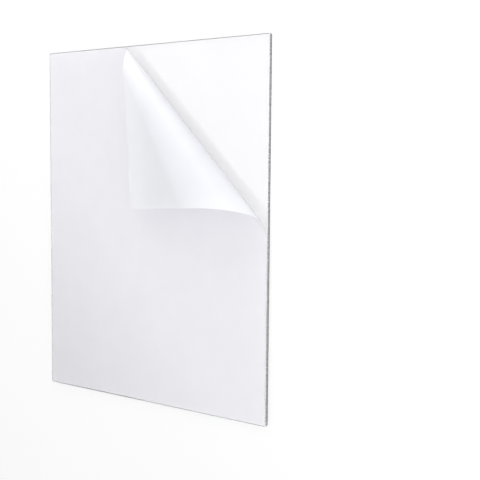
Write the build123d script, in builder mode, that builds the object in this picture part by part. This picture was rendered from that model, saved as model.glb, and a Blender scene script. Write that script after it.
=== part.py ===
from build123d import *
import os
from math import atan2, ceil, cos, degrees, radians, sin

os.makedirs("parts", exist_ok=True)

# Sheet, an eight by ten inch panel lying on its back face
sheet_width = 203.2
sheet_height = 254.0
sheet_thickness = 3.0
corner_radius = 1.2
edge_break = 0.2

# Masking film on the upper face
film_thickness = 0.1
film_setback = 0.8
film_corner_radius = corner_radius - film_setback

# Peeled corner, measured from the film's own corner along its two edges
peel_along_top = 126.0
peel_along_side = 129.0

# Peel front: a slender cone that starts at the peel line, with its apex on that line beyond the top edge
front_apex_beyond_top = 400.0
front_radius_at_side = 7.2
front_turn = radians(121.0)

# Curl: a wider cone that carries on from the front's last ray, with its apex nearer the top edge
curl_apex_beyond_top = 34.0
curl_radius_at_side = 36.5
curl_turn = radians(72.0)

# Widest step between the slices that the cones are drawn through
slice_step = radians(8.0)


class Ray:
    """A straight line of the film from an apex, both in the flat film and in the rolled one."""

    def __init__(self, flat_apex, flat_direction, apex, direction, normal):
        self.flat_apex = flat_apex
        self.flat_direction = flat_direction
        self.apex = apex
        self.direction = direction
        self.normal = normal

    def to_top(self):
        """Distance from the apex to the film's top edge."""
        return (film_corner.Y - self.flat_apex.Y) / self.flat_direction.Y

    def to_side(self):
        """Distance from the apex to the film's right edge."""
        return (film_corner.X - self.flat_apex.X) / self.flat_direction.X

    def to_corner(self):
        """Place of the film's corner in the plane of the ray, along it and across it."""
        corner = film_corner - self.flat_apex
        across = upward.cross(self.flat_direction)
        return corner.dot(self.flat_direction), corner.dot(across)

    def moved(self, distance):
        """The same line from an apex further along it."""
        flat_apex = self.flat_apex + self.flat_direction * distance
        apex = self.apex + self.direction * distance
        return Ray(flat_apex, self.flat_direction, apex, self.direction, self.normal)

    def rolled(self, half_angle, turn):
        """The line that the film reaches by turning round a cone from this one."""
        unrolled = Axis((0, 0, 0), upward)
        flat_direction = self.flat_direction.rotate(unrolled, degrees(turn * sin(half_angle)))
        axis = Axis((0, 0, 0), self.direction * cos(half_angle) + self.normal * sin(half_angle))
        direction = self.direction.rotate(axis, degrees(turn))
        normal = self.normal.rotate(axis, degrees(turn))
        return Ray(self.flat_apex, flat_direction, self.apex, direction, normal)


def film_slice(ray):
    """Cut through the film along one ray, from its top edge to its right edge."""
    near = ray.to_top()
    far = ray.to_side()
    with BuildSketch(Plane(ray.apex, x_dir=ray.direction, z_dir=ray.direction.cross(ray.normal))) as cut:
        with Locations(((near + far) / 2, film_thickness / 2)):
            Rectangle(far - near, film_thickness)
    return cut.sketch


def cone_slices(ray, half_angle, turn):
    """Slices at even steps round one cone, no wider apart than the slice step."""
    steps = ceil(turn / slice_step)
    return [film_slice(ray.rolled(half_angle, turn * step / steps)) for step in range(steps + 1)]


# Places in the plane of the film's lower face
upward = Vector(0, 0, 1)
film_corner = Vector(sheet_width / 2 - film_setback, sheet_height / 2 - film_setback, sheet_thickness)
peel_start = film_corner - Vector(peel_along_top, 0, 0)
peel_end = film_corner - Vector(0, peel_along_side, 0)
peel_direction = (peel_end - peel_start).normalized()

# Rays on which the peel front starts, the curl takes over and the flat flap takes over
front_apex = peel_start - peel_direction * front_apex_beyond_top
front_ray = Ray(front_apex, peel_direction, front_apex, peel_direction, upward)
front_half_angle = atan2(front_radius_at_side, front_ray.to_side())
front_last = front_ray.rolled(front_half_angle, front_turn)
curl_ray = front_last.moved(front_last.to_top() - curl_apex_beyond_top)
curl_half_angle = atan2(curl_radius_at_side, curl_ray.to_side())
flap_ray = curl_ray.rolled(curl_half_angle, curl_turn)

# Clear sheet with rounded corners and a scraped edge on both faces
with BuildPart() as acrylic_sheet:
    with BuildSketch():
        RectangleRounded(sheet_width, sheet_height, corner_radius)
    extrude(amount=sheet_thickness)
    rims = acrylic_sheet.edges().filter_by_position(Axis.Z, 0, 0)
    rims += acrylic_sheet.edges().filter_by_position(Axis.Z, sheet_thickness, sheet_thickness)
    chamfer(rims, edge_break)
acrylic_sheet.part.label = "acrylic_sheet"
export_step(acrylic_sheet.part, "parts/acrylic_sheet.step")

# Film, stuck down up to the peel line, then turned back over itself in two cones and a flat flap
with BuildPart() as masking_film:
    with BuildSketch(Plane.XY.offset(film_corner.Z)) as stuck:
        with BuildLine():
            Polyline(
                (-film_corner.X, film_corner.Y),
                (peel_start.X, peel_start.Y),
                (peel_end.X, peel_end.Y),
                (film_corner.X, -film_corner.Y),
                (-film_corner.X, -film_corner.Y),
                close=True,
            )
        make_face()
        left_corners = stuck.vertices().group_by(Axis.X)[0]
        bottom_right = stuck.vertices().group_by(Axis.Y)[0].sort_by(Axis.X)[-1]
        fillet(left_corners + [bottom_right], film_corner_radius)
    extrude(amount=film_thickness)
    loft(cone_slices(front_ray, front_half_angle, front_turn))
    loft(cone_slices(curl_ray, curl_half_angle, curl_turn))
    with BuildSketch(Plane(flap_ray.apex, x_dir=flap_ray.direction, z_dir=flap_ray.normal)) as flap:
        with BuildLine():
            Polyline(
                (flap_ray.to_top(), 0),
                (flap_ray.to_side(), 0),
                flap_ray.to_corner(),
                close=True,
            )
        make_face()
        fillet(flap.vertices().sort_by_distance(flap_ray.to_corner())[0], film_corner_radius)
    extrude(amount=film_thickness)
masking_film.part.label = "masking_film"
export_step(masking_film.part, "parts/masking_film.step")
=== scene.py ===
from math import asin, atan2, cos, pi, radians, sin, sqrt

import bpy
from mathutils import Matrix, Quaternion, Vector

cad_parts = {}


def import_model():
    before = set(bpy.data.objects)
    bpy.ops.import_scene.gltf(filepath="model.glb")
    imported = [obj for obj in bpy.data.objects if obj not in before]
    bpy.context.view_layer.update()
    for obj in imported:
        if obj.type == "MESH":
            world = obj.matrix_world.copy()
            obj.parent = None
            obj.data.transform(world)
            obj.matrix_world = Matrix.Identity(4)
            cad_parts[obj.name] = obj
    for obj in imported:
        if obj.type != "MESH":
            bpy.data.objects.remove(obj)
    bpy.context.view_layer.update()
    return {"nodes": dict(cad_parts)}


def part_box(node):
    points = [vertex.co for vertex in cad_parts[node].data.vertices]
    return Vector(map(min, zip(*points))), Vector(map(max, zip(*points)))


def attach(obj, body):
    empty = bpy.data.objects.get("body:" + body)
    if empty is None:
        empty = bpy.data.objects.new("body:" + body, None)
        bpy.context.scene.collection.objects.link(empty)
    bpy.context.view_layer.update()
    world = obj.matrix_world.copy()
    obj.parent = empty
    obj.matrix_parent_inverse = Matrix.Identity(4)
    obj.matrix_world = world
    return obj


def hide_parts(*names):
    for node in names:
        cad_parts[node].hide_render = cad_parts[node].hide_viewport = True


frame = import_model()

MM = 0.001
UP = Vector((0, 0, 1))

# Masking film, at the sizes of the solid model
FILM_LOW, FILM_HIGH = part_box("masking_film")
FILM_GAP = 0.01 * MM
FILM_LEVEL = FILM_LOW.z + FILM_GAP
FILM_RIGHT = FILM_HIGH.x
FILM_TOP = FILM_HIGH.y
FILM_THICKNESS = 0.1 * MM
FILM_CORNER_RADIUS = 0.4 * MM

# Peeled corner, measured along the film's edges from its own corner
PEEL_ALONG_TOP = 126.0 * MM
PEEL_ALONG_SIDE = 129.0 * MM

# Peel front: a slender cone with its apex on the peel line, beyond the top edge
FRONT_APEX_BEYOND_TOP = 400.0 * MM
FRONT_RADIUS_AT_SIDE = 7.2 * MM
FRONT_TURN = radians(121.0)

# Curl: a wider cone that carries on from the front's last ray
CURL_APEX_BEYOND_TOP = 34.0 * MM
CURL_RADIUS_AT_SIDE = 36.5 * MM
CURL_TURN = radians(72.0)

# Steps of the film's mesh
COLUMNS = 160
CORNER_STEPS = 8
STUCK_ROWS = 36
FRONT_ROWS = 30
CURL_ROWS = 48
FLAP_ROWS = 48
RIM_ANGLE = radians(40.0)

# Waves of the loose flap: slow ones, highest at its edges, with smaller and quicker ones on them
WAVE_HEIGHT = 0.35 * MM
WAVE_LENGTH = 82.0 * MM
WAVE_SHIFT = 1.1
WAVE_AT_MIDDLE = 0.35
RIPPLE_HEIGHT = 0.5 * WAVE_HEIGHT
RIPPLES_PER_WAVE = 2.3
RIPPLE_SHIFT = 0.4

# Places in the plane of the film's lower face
FILM_CORNER = Vector((FILM_RIGHT, FILM_TOP, FILM_LEVEL))
TIP_CENTRE = FILM_CORNER - Vector((FILM_CORNER_RADIUS, FILM_CORNER_RADIUS, 0))
PEEL_START = FILM_CORNER - Vector((PEEL_ALONG_TOP, 0, 0))
PEEL_END = FILM_CORNER - Vector((0, PEEL_ALONG_SIDE, 0))
PEEL_ALONG = (PEEL_END - PEEL_START).normalized()

# Camera, at the photograph's viewing angle, in the row frame
CAMERA_AT = Vector((0.429912, 0.044037, 0.482266))
CAMERA_RIGHT = Vector((0.8070, 0.0090, -0.5900))
CAMERA_FORWARD = Vector((-0.5880, -0.0830, -0.8050))
FOCAL_PIXELS = 907.25
IMAGE_PIXELS = 480
SENSOR_WIDTH = 36.0

# What nearly all noise values lie between
NOISE_RANGE = (0.3, 0.7)

# Clear sheet: its polished faces, with a slight slow waviness
CLEAR_TINT = (0.885, 0.881, 0.895, 1)
CLEAR_SHADE = (0.985, 0.985, 0.99, 1)
CLEAR_PASSES = 1.0
ACRYLIC_IOR = 1.49
FACE_WAVES = 9.0
FACE_WAVE_DEPTH = 0.05 * MM
FACE_WAVE_STRENGTH = 0.4

# Clear sheet: its sawn edges, known by a normal that leans less than this towards Z, with upright saw marks
# and painted shade darkening their lower part between the given heights
EDGE_LEAN = 0.5
EDGE_PAINTED_SHADE = (0.50, 0.505, 0.53, 1)
EDGE_PALE = (0.93, 0.93, 0.95, 1)
EDGE_PAINTED_SHADE_HEIGHTS = (0.7 * MM, 1.3 * MM)
EDGE_TRANSMISSION = 0.65
EDGE_ROUGHNESS = (0.20, 0.34)
SAW_MARKS = 7000.0
SAW_STRETCH = (1, 1, 0.03)
SAW_DEPTH = 0.02 * MM
SAW_SHARE = 0.15

# Film: mottling in its thickness and fine streaks from its drawing
MOTTLES = 26.0
MOTTLE_DEPTH = 0.12 * MM
MOTTLE_STRENGTH = 0.35
STREAKS = 420.0
STREAK_STRETCH = (1, 0.03, 1)
STREAK_DEPTH = 0.004 * MM
STREAK_STRENGTH = 0.25
STREAK_SHARE = 0.1
FILM_IOR = 1.5
FILM_ROUGHNESS = (0.34, 0.40)
COAT_ROUGHNESS = 0.34

# Film: stuck down, with painted shade greying it at its lower left, between these sums of x and y
STUCK_FILM_PAINTED_SHADE = (0.785, 0.775, 0.825, 1)
STUCK_FILM_DARK = (0.93, 0.92, 0.97, 1)
STUCK_FILM_PALE = (0.95, 0.94, 0.99, 1)
STUCK_COVER = (0.35, 0.37)
PAINTED_SHADE_SUMS = (-0.20, -0.05)

# Film: lifted off the sheet, fully so from the second of these heights up
LOOSE_FILM_DARK = (0.905, 0.912, 0.945, 1)
LOOSE_FILM_PALE = (0.935, 0.942, 0.972, 1)
LOOSE_COVER = (0.46, 0.49)
LIFT_HEIGHTS = (FILM_LEVEL + 0.2 * MM, FILM_LEVEL + 1.2 * MM)

# Film: the light of the lamps that gets through it
FILM_SHADE = (0.95, 0.95, 0.96, 1)
FILM_PASSES = 0.52

# Room
WHITE = (1, 1, 1, 1)
FLOOR_DROP = 0.05 * MM
FLOOR_SIZE = 12.0
FLOOR_WHITE = (0.6, 0.6, 0.6, 1)
FLOOR_GLOW = 0.36
FAR_FLOOR_GLOW = 0.53
FAR_FLOOR_FROM = (0.35, 1.0)
ROOM_LIGHT = 0.78
WHITE_LIGHT = 1.0

# Lamps: the key casts the curl's shadow on the bare corner, the others light the curl and the flap
KEY_AT = (-0.146, -0.146, 0.773)
KEY_SIZE = 0.12
KEY_WATTS = 0.66
TOP_AT = (-0.12, 0.34, 0.24)
TOP_SIZE = 0.2
TOP_WATTS = 0.16
SIDE_AT = (0.48, 0.02, 0.20)
SIDE_SIZE = 0.3
SIDE_WATTS = 0.66
SHINE_AT = (0.03, 0.80, 0.32)
SHINE_SIZE = 0.5
SHINE_WATTS = 1.6


# The peeled corner's form


class Ray:
    """A straight line of the film from an apex, both in the film laid flat and in its place."""

    def __init__(self, flat_apex, flat_along, apex, along, normal):
        self.flat_apex = flat_apex
        self.flat_along = flat_along
        self.apex = apex
        self.along = along
        self.normal = normal

    def moved(self, distance):
        """The same line from an apex further along it."""
        flat_apex = self.flat_apex + self.flat_along * distance
        return Ray(flat_apex, self.flat_along, self.apex + self.along * distance, self.along, self.normal)

    def rolled(self, half_angle, turn):
        """The line that the film reaches by turning round a cone from this one."""
        flat_along = Quaternion(UP, turn * sin(half_angle)) @ self.flat_along
        spin = Quaternion(self.along * cos(half_angle) + self.normal * sin(half_angle), turn)
        return Ray(self.flat_apex, flat_along, self.apex, spin @ self.along, spin @ self.normal)

    def swung(self, angle):
        """The line at an angle from this one in the flat flap."""
        flat_along = Quaternion(UP, angle) @ self.flat_along
        along = Quaternion(self.normal, angle) @ self.along
        return Ray(self.flat_apex, flat_along, self.apex, along, self.normal)

    def reach(self):
        """Distances from the apex at which the line enters and leaves the film, round its corner."""
        near = (FILM_TOP - self.flat_apex.y) / self.flat_along.y
        far = (FILM_RIGHT - self.flat_apex.x) / self.flat_along.x
        to_centre = TIP_CENTRE - self.flat_apex
        middle = to_centre.dot(self.flat_along)
        half_chord = sqrt(max(0.0, FILM_CORNER_RADIUS**2 - to_centre.length_squared + middle**2))
        if (self.flat_apex + self.flat_along * near).x > TIP_CENTRE.x:
            near = middle - half_chord
        if (self.flat_apex + self.flat_along * far).y > TIP_CENTRE.y:
            far = middle + half_chord
        return near, far

    def to_tip(self):
        """Angle from the line to the one that just touches the rounded tip."""
        to_centre = TIP_CENTRE - self.flat_apex
        return self.flat_along.angle(to_centre) + asin(FILM_CORNER_RADIUS / to_centre.length)


def peel_rays():
    """Lines of the peeled corner: round the front and the curl, then to the tip, closer towards it."""
    apex = PEEL_START - PEEL_ALONG * FRONT_APEX_BEYOND_TOP
    first = Ray(apex, PEEL_ALONG, apex, PEEL_ALONG, UP)
    front_half = atan2(FRONT_RADIUS_AT_SIDE, first.reach()[1])
    front = [first.rolled(front_half, FRONT_TURN * i / FRONT_ROWS) for i in range(1, FRONT_ROWS + 1)]
    taken = front[-1].moved(front[-1].reach()[0] - CURL_APEX_BEYOND_TOP)
    curl_half = atan2(CURL_RADIUS_AT_SIDE, taken.reach()[1])
    curl = [taken.rolled(curl_half, CURL_TURN * i / CURL_ROWS) for i in range(1, CURL_ROWS + 1)]
    tip = curl[-1].to_tip()
    flap = [curl[-1].swung(tip * sin(pi / 2 * i / FLAP_ROWS)) for i in range(1, FLAP_ROWS)]
    return front + curl + flap


def stuck_outline():
    """The film's outline from its top edge round the left and bottom edges to its right edge."""
    radius = FILM_CORNER_RADIUS
    x, y = FILM_RIGHT - radius, FILM_TOP - radius
    centres = ((-x, y, 90), (-x, -y, 180), (x, -y, 270))
    straight = (COLUMNS - 3 * CORNER_STEPS) // 2
    points = []
    for place, (cx, cy, first) in enumerate(centres):
        for i in range(CORNER_STEPS + 1):
            turn = radians(first + 90 * i / CORNER_STEPS)
            points.append(Vector((cx + radius * cos(turn), cy + radius * sin(turn), FILM_LEVEL)))
        if place < 2:
            leave = points[-1]
            nx, ny, _ = centres[place + 1]
            turn = radians(first + 90)
            arrive = Vector((nx + radius * cos(turn), ny + radius * sin(turn), FILM_LEVEL))
            points += [leave.lerp(arrive, i / straight) for i in range(1, straight)]
    return points


def flap_wave(loose, flat_place, share):
    """How far the loose flap stands off its plain form: nothing at the front, most at its edges."""
    ease = loose * loose * (3 - 2 * loose)
    edge = WAVE_AT_MIDDLE + (1 - WAVE_AT_MIDDLE) * (2 * share - 1) ** 2
    across = 2 * pi * (flat_place.x - flat_place.y) / WAVE_LENGTH
    wave = WAVE_HEIGHT * sin(across + WAVE_SHIFT)
    ripple = RIPPLE_HEIGHT * sin(RIPPLES_PER_WAVE * across + RIPPLE_SHIFT)
    return ease * edge * (wave + ripple)


def film_rows():
    """Rows of (point on the film's lower face, normal), from the far edges to the flap's tip."""
    outline = stuck_outline()
    shares = [i / (len(outline) - 1) for i in range(len(outline))]
    front_line = [PEEL_START.lerp(PEEL_END, share) for share in shares]
    rows = []
    for j in range(STUCK_ROWS + 1):
        rows.append([(far.lerp(near, j / STUCK_ROWS), UP) for far, near in zip(outline, front_line)])
    for j, ray in enumerate(peel_rays(), 1):
        near, far = ray.reach()
        loose = max(0.0, (j - FRONT_ROWS) / (CURL_ROWS + FLAP_ROWS))
        row = []
        for share in shares:
            distance = near + (far - near) * share
            lift = flap_wave(loose, ray.flat_apex + ray.flat_along * distance, share)
            row.append((ray.apex + ray.along * distance + ray.normal * lift, ray.normal))
        rows.append(row)
    return rows


def film_piece():
    """The whole film as one closed skin: its lower face, its upper face and the rim between."""
    rows = film_rows()
    high, wide = len(rows), len(rows[0])
    lower = [p for row in rows for p, _ in row]
    upper = [p + n * FILM_THICKNESS for row in rows for p, n in row]
    above = len(lower)
    faces = []
    for j in range(high - 1):
        for i in range(wide - 1):
            a, b = j * wide + i, (j + 1) * wide + i
            faces.append((a, b, b + 1, a + 1))
            faces.append((a + above, a + 1 + above, b + 1 + above, b + above))
    rim = [i for i in range(wide)]
    rim += [j * wide + wide - 1 for j in range(1, high)]
    rim += [(high - 1) * wide + i for i in range(wide - 2, -1, -1)]
    rim += [j * wide for j in range(high - 2, 0, -1)]
    for a, b in zip(rim, rim[1:] + rim[:1]):
        faces.append((a, b, b + above, a + above))
    mesh = bpy.data.meshes.new("peeled_film")
    mesh.from_pydata([tuple(p) for p in lower + upper], [], faces)
    mesh.validate()
    mesh.update()
    mesh.shade_smooth()
    mesh.set_sharp_from_angle(angle=RIM_ANGLE)
    made = bpy.data.objects.new("peeled_film", mesh)
    bpy.context.scene.collection.objects.link(made)
    return made


# Materials


class Nodes:
    """Short calls for building the node tree of a material, a lamp or the world."""

    def __init__(self, owner, output="ShaderNodeOutputMaterial"):
        owner.use_nodes = True
        self.owner = owner
        self.tree = owner.node_tree
        self.tree.nodes.clear()
        self.output = self.add(output)

    def add(self, kind, inputs=None, **settings):
        node = self.tree.nodes.new(kind)
        for key, value in settings.items():
            setattr(node, key, value)
        for socket, value in (inputs or {}).items():
            if isinstance(value, bpy.types.NodeSocket):
                self.tree.links.new(value, node.inputs[socket])
            else:
                node.inputs[socket].default_value = value
        return node

    def math(self, operation, first, second=0.0):
        return self.add("ShaderNodeMath", {0: first, 1: second}, operation=operation).outputs[0]

    def place(self):
        """Place in the row frame, as X, Y and Z."""
        place = self.add("ShaderNodeTexCoord").outputs["Object"]
        return self.add("ShaderNodeSeparateXYZ", {0: place}).outputs

    def noise(self, scale, stretch=(1, 1, 1), detail=2.0):
        """Noise in the row frame, in waves per metre, stretched along the axes."""
        place = self.add("ShaderNodeTexCoord").outputs["Object"]
        mapped = self.add("ShaderNodeMapping", {"Vector": place, "Scale": stretch})
        inputs = {"Vector": mapped.outputs[0], "Scale": scale, "Detail": detail}
        return self.add("ShaderNodeTexNoise", inputs).outputs[0]

    def blend(self, share, first, second):
        """Colour that goes from the first to the second with the share."""
        mix = self.add("ShaderNodeMix", {0: share, 6: first, 7: second}, data_type="RGBA")
        return mix.outputs[2]

    def weigh(self, first, second, share):
        """Sum of two values, with the share of the second in it."""
        rest = self.math("MULTIPLY", first, 1 - share)
        return self.math("ADD", rest, self.math("MULTIPLY", second, share))

    def spread(self, value, span, to=(0.0, 1.0)):
        """The value moved from one span to another, and held within it."""
        inputs = {"Value": value, "From Min": span[0], "From Max": span[1], "To Min": to[0], "To Max": to[1]}
        return self.add("ShaderNodeMapRange", inputs).outputs[0]

    def bump(self, height, distance, strength=1.0, normal=None):
        """Normal bent by the height, which is worth the distance at 1, on top of another bump."""
        inputs = {"Height": height, "Distance": distance, "Strength": strength}
        if normal is not None:
            inputs["Normal"] = normal
        return self.add("ShaderNodeBump", inputs).outputs[0]

    def let_light_through(self, shader, shade, share):
        """The shader, with a share of the lamps' light passing it in that shade."""
        shadow = self.add("ShaderNodeLightPath").outputs["Is Shadow Ray"]
        clear = self.add("ShaderNodeBsdfTransparent", {"Color": shade})
        inputs = {0: self.math("MULTIPLY", shadow, share), 1: shader.outputs[0], 2: clear.outputs[0]}
        return self.add("ShaderNodeMixShader", inputs).outputs[0]

    def finish(self, surface):
        self.tree.links.new(surface, self.output.inputs["Surface"])
        return self.owner


def acrylic_material():
    """Clear cast acrylic: polished faces, satin sawn edges with painted shade on their lower part, and lamp
    light let through.
    """
    nodes = Nodes(bpy.data.materials.new("clear_cast_acrylic"))
    normal = nodes.add("ShaderNodeNewGeometry").outputs["True Normal"]
    lean = nodes.math("ABSOLUTE", nodes.add("ShaderNodeSeparateXYZ", {0: normal}).outputs["Z"])
    cut_edge = nodes.math("LESS_THAN", lean, EDGE_LEAN)
    saw = nodes.noise(SAW_MARKS, SAW_STRETCH)
    saw_bump = nodes.bump(nodes.math("MULTIPLY", saw, cut_edge), SAW_DEPTH)
    edge_rough = nodes.spread(saw, NOISE_RANGE, EDGE_ROUGHNESS)
    # Painted shade: the sawn edges are darker towards the sheet's lower face and paler above
    beyond_painted_shade = nodes.spread(nodes.place()["Z"], EDGE_PAINTED_SHADE_HEIGHTS)
    edge_saw_and_painted_shade = nodes.blend(nodes.weigh(beyond_painted_shade, saw, SAW_SHARE), EDGE_PAINTED_SHADE, EDGE_PALE)
    face_waves = nodes.noise(FACE_WAVES, detail=1.0)
    sheet = nodes.add(
        "ShaderNodeBsdfPrincipled",
        {
            "Base Color": nodes.blend(cut_edge, CLEAR_TINT, edge_saw_and_painted_shade),
            "Roughness": nodes.math("MULTIPLY", edge_rough, cut_edge),
            "IOR": ACRYLIC_IOR,
            "Transmission Weight": nodes.spread(cut_edge, (0.0, 1.0), (1.0, EDGE_TRANSMISSION)),
            "Normal": nodes.bump(face_waves, FACE_WAVE_DEPTH, FACE_WAVE_STRENGTH, saw_bump),
        },
    )
    return nodes.finish(nodes.let_light_through(sheet, CLEAR_SHADE, CLEAR_PASSES))


def film_material():
    """Milky masking film: thinner looking where it clings to the sheet, whiter where it is lifted, with
    painted shade greying the stuck film towards its lower left.
    """
    nodes = Nodes(bpy.data.materials.new("milky_masking_film"))
    across, along, height = nodes.place()
    lifted = nodes.spread(height, LIFT_HEIGHTS)
    mottle = nodes.noise(MOTTLES, detail=3.0)
    streak = nodes.noise(STREAKS, STREAK_STRETCH)
    tone = nodes.weigh(mottle, streak, STREAK_SHARE)
    # Painted shade: the stuck film greys towards its lower left
    beyond_painted_shade = nodes.spread(nodes.math("ADD", across, along), PAINTED_SHADE_SUMS)
    even_tint = nodes.blend(tone, STUCK_FILM_DARK, STUCK_FILM_PALE)
    stuck_tint = nodes.blend(beyond_painted_shade, STUCK_FILM_PAINTED_SHADE, even_tint)
    loose_tint = nodes.blend(tone, LOOSE_FILM_DARK, LOOSE_FILM_PALE)
    stuck_cover = nodes.spread(mottle, NOISE_RANGE, STUCK_COVER)
    loose_cover = nodes.spread(mottle, NOISE_RANGE, LOOSE_COVER)
    cover_rise = nodes.math("SUBTRACT", loose_cover, stuck_cover)
    fine = nodes.bump(streak, STREAK_DEPTH, STREAK_STRENGTH)
    film = nodes.add(
        "ShaderNodeBsdfPrincipled",
        {
            "Base Color": nodes.blend(lifted, stuck_tint, loose_tint),
            "Roughness": nodes.spread(tone, NOISE_RANGE, FILM_ROUGHNESS),
            "IOR": FILM_IOR,
            "Coat Weight": 1.0,
            "Coat Roughness": COAT_ROUGHNESS,
            "Alpha": nodes.math("ADD", stuck_cover, nodes.math("MULTIPLY", cover_rise, lifted)),
            "Normal": nodes.bump(mottle, MOTTLE_DEPTH, MOTTLE_STRENGTH, fine),
        },
    )
    return nodes.finish(nodes.let_light_through(film, FILM_SHADE, FILM_PASSES))


def floor_material():
    """White floor that the camera, gloss and glass see as white, and that keeps shadows, but is no lamp."""
    nodes = Nodes(bpy.data.materials.new("white_floor"))
    path = nodes.add("ShaderNodeLightPath").outputs
    seen = nodes.math("MAXIMUM", path["Is Camera Ray"], path["Is Glossy Ray"])
    seen = nodes.math("MAXIMUM", seen, path["Is Transmission Ray"])
    lit = nodes.add("ShaderNodeBsdfDiffuse", {"Color": FLOOR_WHITE})
    place = nodes.add("ShaderNodeTexCoord").outputs["Object"]
    away = nodes.add("ShaderNodeVectorMath", {0: place}, operation="LENGTH").outputs["Value"]
    strength = nodes.spread(away, FAR_FLOOR_FROM, (FLOOR_GLOW, FAR_FLOOR_GLOW))
    glow = nodes.add("ShaderNodeEmission", {"Color": WHITE, "Strength": strength})
    shown = nodes.add("ShaderNodeAddShader", {0: lit.outputs[0], 1: glow.outputs[0]})
    mixed = nodes.add("ShaderNodeMixShader", {0: seen, 1: lit.outputs[0], 2: shown.outputs[0]})
    made = nodes.finish(mixed.outputs[0])
    made.cycles.emission_sampling = "NONE"
    return made


# Stage


def floor_plane():
    """Wide flat floor, just under the sheet."""
    half = FLOOR_SIZE / 2
    corners = [(-half, -half), (half, -half), (half, half), (-half, half)]
    mesh = bpy.data.meshes.new("floor")
    mesh.from_pydata([(x, y, -FLOOR_DROP) for x, y in corners], [], [(0, 1, 2, 3)])
    made = bpy.data.objects.new("floor", mesh)
    bpy.context.scene.collection.objects.link(made)
    mesh.materials.append(floor_material())


def keep_out_of_mirror(lamp):
    """Hides the lamp's image in the clear sheet's back, but keeps its light that comes through the sheet."""
    nodes = Nodes(lamp, "ShaderNodeOutputLight")
    path = nodes.add("ShaderNodeLightPath").outputs
    reflected = nodes.math("GREATER_THAN", path["Glossy Depth"], 0.5)
    unscattered = nodes.math("LESS_THAN", path["Diffuse Depth"], 0.5)
    image = nodes.math("MULTIPLY", reflected, unscattered)
    strength = nodes.math("SUBTRACT", 1.0, image)
    nodes.finish(nodes.add("ShaderNodeEmission", {"Color": WHITE, "Strength": strength}).outputs[0])


def area_lamp(name, place, size, watts, mirrored=True):
    """Round soft lamp that shines at the middle of the sheet, unseen itself."""
    lamp = bpy.data.lights.new(name, "AREA")
    lamp.shape = "DISK"
    lamp.size = size
    lamp.energy = watts
    made = bpy.data.objects.new(name, lamp)
    made.location = place
    made.rotation_euler = (-Vector(place)).to_track_quat("-Z", "Y").to_euler()
    made.visible_camera = False
    made.visible_glossy = mirrored
    if not mirrored:
        keep_out_of_mirror(lamp)
    bpy.context.scene.collection.objects.link(made)


def world():
    """Even white room, dimmer as a light than it looks to the camera and through glass."""
    nodes = Nodes(bpy.data.worlds.new("white_room"), "ShaderNodeOutputWorld")
    path = nodes.add("ShaderNodeLightPath").outputs
    seen = nodes.math("MAXIMUM", path["Is Camera Ray"], path["Is Transmission Ray"])
    dim = nodes.add("ShaderNodeBackground", {"Color": WHITE, "Strength": ROOM_LIGHT})
    white = nodes.add("ShaderNodeBackground", {"Color": WHITE, "Strength": WHITE_LIGHT})
    mixed = nodes.add("ShaderNodeMixShader", {0: seen, 1: dim.outputs[0], 2: white.outputs[0]})
    bpy.context.scene.world = nodes.finish(mixed.outputs[0])


def camera():
    """Camera at its place, squared up from its forward and right directions."""
    forward = CAMERA_FORWARD.normalized()
    right = (CAMERA_RIGHT - forward * CAMERA_RIGHT.dot(forward)).normalized()
    up = right.cross(forward)
    made = bpy.data.objects.new("camera", bpy.data.cameras.new("camera"))
    turned = Matrix((right, up, -forward)).transposed().to_4x4()
    made.matrix_world = Matrix.Translation(CAMERA_AT) @ turned
    made.data.sensor_width = SENSOR_WIDTH
    made.data.lens = FOCAL_PIXELS / IMAGE_PIXELS * SENSOR_WIDTH
    bpy.context.scene.collection.objects.link(made)
    bpy.context.scene.camera = made


def dress():
    """Gives the sheet its finish, and puts the film in its place."""
    sheet = frame["nodes"]["acrylic_sheet"]
    acrylic = acrylic_material()
    if not sheet.material_slots:
        sheet.data.materials.append(acrylic)
    for slot in sheet.material_slots:
        slot.material = acrylic
    film = film_piece()
    film.data.materials.append(film_material())
    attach(film, "root")
    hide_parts("masking_film")


dress()
floor_plane()
area_lamp("key_lamp", KEY_AT, KEY_SIZE, KEY_WATTS, mirrored=False)
area_lamp("top_lamp", TOP_AT, TOP_SIZE, TOP_WATTS)
area_lamp("side_lamp", SIDE_AT, SIDE_SIZE, SIDE_WATTS)
area_lamp("shine_lamp", SHINE_AT, SHINE_SIZE, SHINE_WATTS)
world()
camera()
bpy.context.scene.view_settings.view_transform = "Standard"
